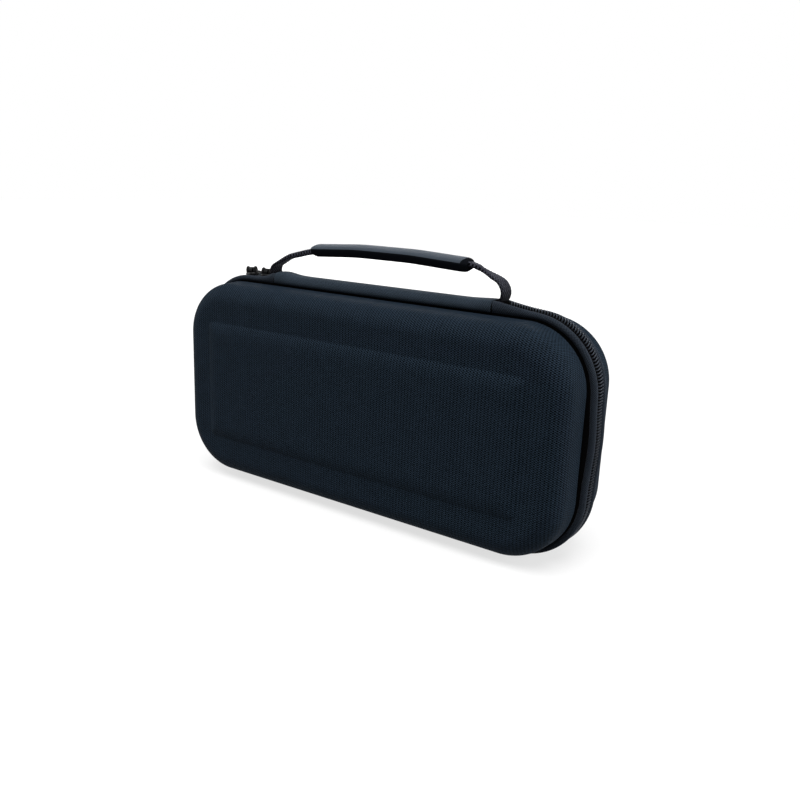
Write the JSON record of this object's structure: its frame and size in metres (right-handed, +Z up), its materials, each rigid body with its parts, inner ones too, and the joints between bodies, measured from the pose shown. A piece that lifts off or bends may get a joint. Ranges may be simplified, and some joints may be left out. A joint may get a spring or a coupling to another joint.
{
  "type": "portable game console case",
  "caption": "Moulded clamshell carrying case with a coil zip round three sides, a fabric spine, a webbing handle and a foam tray for a handheld console.",
  "frame": {"origin": "middle of the case on the surface that it stands on", "axes": "+X along the case, front half towards -Y, +Z up through the handle"},
  "size_m": [0.26, 0.0604, 0.1478],
  "materials": {
    "shell_fabric": "fine woven polyester laminated on pressed foam",
    "binding_fabric": "close woven piping tape",
    "spine_fabric": "close woven polyester strip",
    "zip_tape": "black knitted zip tape",
    "zip_coil": "black nylon coil",
    "slider_metal": "black lacquered zinc casting",
    "webbing": "ribbed black webbing",
    "grip_fabric": "soft grey black sleeve",
    "seam_tape": "black ribbed seam tape",
    "tray_lining": "brushed tricot on foam",
    "pocket_net": "black knitted net",
    "pocket_band": "black elastic band"
  },
  "bodies": {
    "base": {"rear_shell": "shell_fabric", "rear_binding": "binding_fabric", "rear_zip_tape": "zip_tape", "rear_zip_coil": "zip_coil", "rear_seam_tape": "seam_tape", "console_tray": "tray_lining"},
    "spine": {"spine_panel": "spine_fabric", "handle_webbing": "webbing", "handle_grip": "grip_fabric"},
    "lid": {"front_shell": "shell_fabric", "front_binding": "binding_fabric", "front_zip_tape": "zip_tape", "front_zip_coil": "zip_coil", "front_seam_tape": "seam_tape", "pocket_net": "pocket_net", "pocket_band": "pocket_band"},
    "left_slider_body": {"left_slider": "slider_metal"},
    "right_slider_body": {"right_slider": "slider_metal"},
    "left_pull_body": {"left_pull": "slider_metal"},
    "right_pull_body": {"right_pull": "slider_metal"}
  },
  "joints": [
    {"name": "spine_hinge", "type": "hinge", "parent": "base", "child": "spine", "pos_m": [0, 0.0068, 0.1241], "axis": [-1, 0, 0], "range_deg": [0, 90], "deforming": ["front_zip_tape", "front_zip_coil"]},
    {"name": "lid_hinge", "type": "hinge", "parent": "spine", "child": "lid", "pos_m": [0, -0.0068, 0.1241], "axis": [-1, 0, 0], "range_deg": [0, 90]},
    {"name": "left_slider_run", "type": "hinge", "parent": "base", "child": "left_slider_body", "pos_m": [-0.094, 0, 0.088], "axis": [0, -1, 0], "range_deg": [0, 80]},
    {"name": "right_slider_run", "type": "slide", "parent": "base", "child": "right_slider_body", "axis": [-1, 0, 0], "range_m": [0, 0.0034]},
    {"name": "left_pull_swing", "type": "hinge", "parent": "left_slider_body", "child": "left_pull_body", "pos_m": [-0.09701, 0, 0.12663], "axis": [0.997, 0, 0.0777], "range_deg": [0, 212]},
    {"name": "right_pull_swing", "type": "hinge", "parent": "right_slider_body", "child": "right_pull_body", "pos_m": [-0.0844, 0, 0.12675], "axis": [1, 0, 0], "range_deg": [0, 212]}
  ],
  "couplings": [
    {"joint": "lid_hinge", "follows": "spine_hinge", "ratio": 1}
  ]
}
